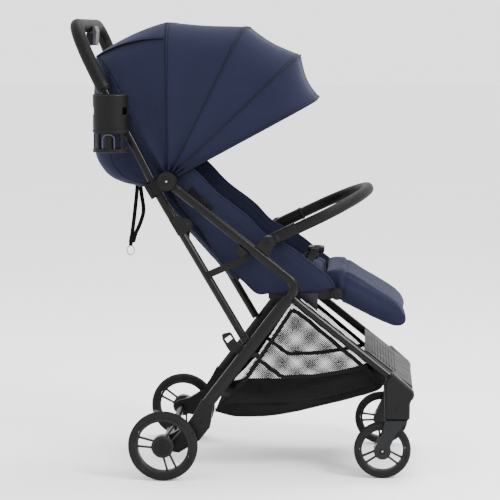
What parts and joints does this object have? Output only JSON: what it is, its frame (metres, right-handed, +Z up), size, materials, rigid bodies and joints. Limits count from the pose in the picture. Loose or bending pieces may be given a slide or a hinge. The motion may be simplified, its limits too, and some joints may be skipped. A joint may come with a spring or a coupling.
{
  "type": "baby stroller",
  "caption": "Compact folding baby stroller with a hinged push handle, arched canopy, reclining seat, leg rest, bumper bar, swivelling front wheels and a basket.",
  "frame": {"origin": "bottom centre of the bounding box, on the floor; the cup holder on the right makes the box wider there, so the stroller's own middle plane is at Y = +0.015 m", "axes": "+X is the direction of travel, +Y is the stroller's left, +Z is up"},
  "size_m": [0.7513, 0.5127, 0.9994],
  "materials": {
    "tube_black": "satin black powder coat",
    "plastic_black": "fine grained black plastic",
    "plastic_slate": "fine grained slate grey plastic",
    "rim_plastic": "satin dark plastic",
    "tyre": "matt solid foam tyre",
    "grip_foam": "pebbled leatherette over foam",
    "fabric_navy": "woven polyester",
    "fabric_black": "woven polyester and mesh",
    "steel": "plated steel"
  },
  "bodies": {
    "root": {"armrest_tube_right": "tube_black", "armrest_tube_left": "tube_black", "rear_leg_right": "tube_black", "rear_leg_left": "tube_black", "hub_housing_right": "plastic_black", "hub_housing_left": "plastic_black", "lower_strut_right": "tube_black", "lower_strut_left": "tube_black", "brace_link_right": "plastic_black", "brace_link_left": "plastic_black", "rear_bracket_right": "plastic_black", "rear_bracket_left": "plastic_black", "rear_axle": "tube_black", "latch_hook": "plastic_black", "seat_rail_right": "plastic_black", "seat_rail_left": "plastic_black", "seat_crossbar": "tube_black", "bumper_clip_right": "plastic_black", "bumper_clip_left": "plastic_black", "seat_base": "fabric_navy", "seat_side_right": "fabric_navy", "seat_side_left": "fabric_navy", "harness_buckle": "plastic_black", "basket": "fabric_black", "canopy_fabric": "fabric_navy", "canopy_rear": "fabric_navy", "recline_strap": "fabric_black", "recline_ring": "steel"},
    "push_frame": {"push_tube_right": "tube_black", "push_tube_left": "tube_black", "knuckle_right": "plastic_black", "knuckle_left": "plastic_black", "handle_grip": "grip_foam", "fold_housing": "plastic_black", "cup_clamp": "plastic_black", "cup_holder": "plastic_black"},
    "lever": {"fold_lever": "plastic_slate"},
    "front_frame": {"front_leg_right": "tube_black", "front_leg_left": "tube_black", "foot_plate": "plastic_slate", "swivel_housing_right": "plastic_black", "swivel_housing_left": "plastic_black"},
    "bumper": {"bumper_bar": "grip_foam"},
    "brake": {"brake_pedal": "plastic_slate"},
    "back": {"backrest": "fabric_navy"},
    "calf": {"leg_rest": "fabric_navy"},
    "caster_right": {"caster_fork_right": "plastic_slate"},
    "front_wheel_right": {"front_tyre_right": "tyre", "front_rim_right": "rim_plastic"},
    "rear_wheel_right": {"rear_tyre_right": "tyre", "rear_rim_right": "rim_plastic"},
    "caster_left": {"caster_fork_left": "plastic_slate"},
    "front_wheel_left": {"front_tyre_left": "tyre", "front_rim_left": "rim_plastic"},
    "rear_wheel_left": {"rear_tyre_left": "tyre", "rear_rim_left": "rim_plastic"},
    "bow_1": {"canopy_bow_1": "plastic_black"},
    "bow_2": {"canopy_bow_2": "plastic_black"},
    "bow_3": {"canopy_bow_3": "plastic_black"},
    "bow_4": {"canopy_bow_4": "plastic_black"}
  },
  "joints": [
    {"name": "handle_fold", "type": "hinge", "parent": "root", "child": "push_frame", "pos_m": [-0.1209, 0.015, 0.556], "axis": [0, 1, 0], "range_deg": [0, 120]},
    {"name": "front_leg_fold", "type": "hinge", "parent": "root", "child": "front_frame", "pos_m": [0.1141, 0.015, 0.3902], "axis": [0, 1, 0], "range_deg": [0, 40], "deforming": ["basket"]},
    {"name": "bumper_tilt", "type": "hinge", "parent": "root", "child": "bumper", "pos_m": [0.0591, 0.015, 0.52], "axis": [0, 1, 0], "range_deg": [0, 37]},
    {"name": "lever_pull", "type": "slide", "parent": "push_frame", "child": "lever", "axis": [0, 0, 1], "range_m": [0, 0.008], "stiffness_N_per_m": 300},
    {"name": "caster_swivel_right", "type": "hinge", "parent": "front_frame", "child": "caster_right", "pos_m": [0.3391, -0.158, 0.13], "axis": [0, 0, 1], "continuous": true},
    {"name": "front_wheel_spin_right", "type": "hinge", "parent": "caster_right", "child": "front_wheel_right", "pos_m": [0.3076, -0.158, 0.0622], "axis": [0, 1, 0], "continuous": true},
    {"name": "rear_wheel_spin_right", "type": "hinge", "parent": "root", "child": "rear_wheel_right", "pos_m": [-0.1694, -0.2125, 0.076], "axis": [0, 1, 0], "continuous": true},
    {"name": "caster_swivel_left", "type": "hinge", "parent": "front_frame", "child": "caster_left", "pos_m": [0.3391, 0.188, 0.13], "axis": [0, 0, 1], "continuous": true},
    {"name": "front_wheel_spin_left", "type": "hinge", "parent": "caster_left", "child": "front_wheel_left", "pos_m": [0.3076, 0.188, 0.0622], "axis": [0, 1, 0], "continuous": true},
    {"name": "rear_wheel_spin_left", "type": "hinge", "parent": "root", "child": "rear_wheel_left", "pos_m": [-0.1694, 0.2425, 0.076], "axis": [0, 1, 0], "continuous": true},
    {"name": "brake_press", "type": "hinge", "parent": "root", "child": "brake", "pos_m": [-0.1694, 0.015, 0.076], "axis": [0, 1, 0], "range_deg": [-18, 0]},
    {"name": "canopy_fold", "type": "hinge", "parent": "root", "child": "bow_1", "pos_m": [-0.1599, 0.015, 0.652], "axis": [0, 1, 0], "range_deg": [-17, 0], "deforming": ["canopy_fabric"]},
    {"name": "bow_2_fold", "type": "hinge", "parent": "bow_1", "child": "bow_2", "pos_m": [-0.1599, 0.015, 0.652], "axis": [0, 1, 0], "range_deg": [-23.5, 0]},
    {"name": "bow_3_fold", "type": "hinge", "parent": "bow_2", "child": "bow_3", "pos_m": [-0.1599, 0.015, 0.652], "axis": [0, 1, 0], "range_deg": [-16.5, 0]},
    {"name": "bow_4_fold", "type": "hinge", "parent": "bow_3", "child": "bow_4", "pos_m": [-0.1599, 0.015, 0.652], "axis": [0, 1, 0], "range_deg": [-12, 0]},
    {"name": "recline", "type": "hinge", "parent": "root", "child": "back", "pos_m": [0.0141, 0.015, 0.405], "axis": [0, 1, 0], "range_deg": [0, 20]},
    {"name": "leg_rest_tilt", "type": "hinge", "parent": "root", "child": "calf", "pos_m": [0.2061, 0.015, 0.4025], "axis": [0, 1, 0], "range_deg": [-28, 0]}
  ],
  "couplings": [
    {"joint": "front_leg_fold", "follows": "handle_fold", "ratio": 0.33},
    {"joint": "bumper_tilt", "follows": "handle_fold", "ratio": 0.3},
    {"joint": "bow_2_fold", "follows": "canopy_fold", "ratio": 1.35},
    {"joint": "bow_3_fold", "follows": "canopy_fold", "ratio": 0.94},
    {"joint": "bow_4_fold", "follows": "canopy_fold", "ratio": 0.68}
  ]
}
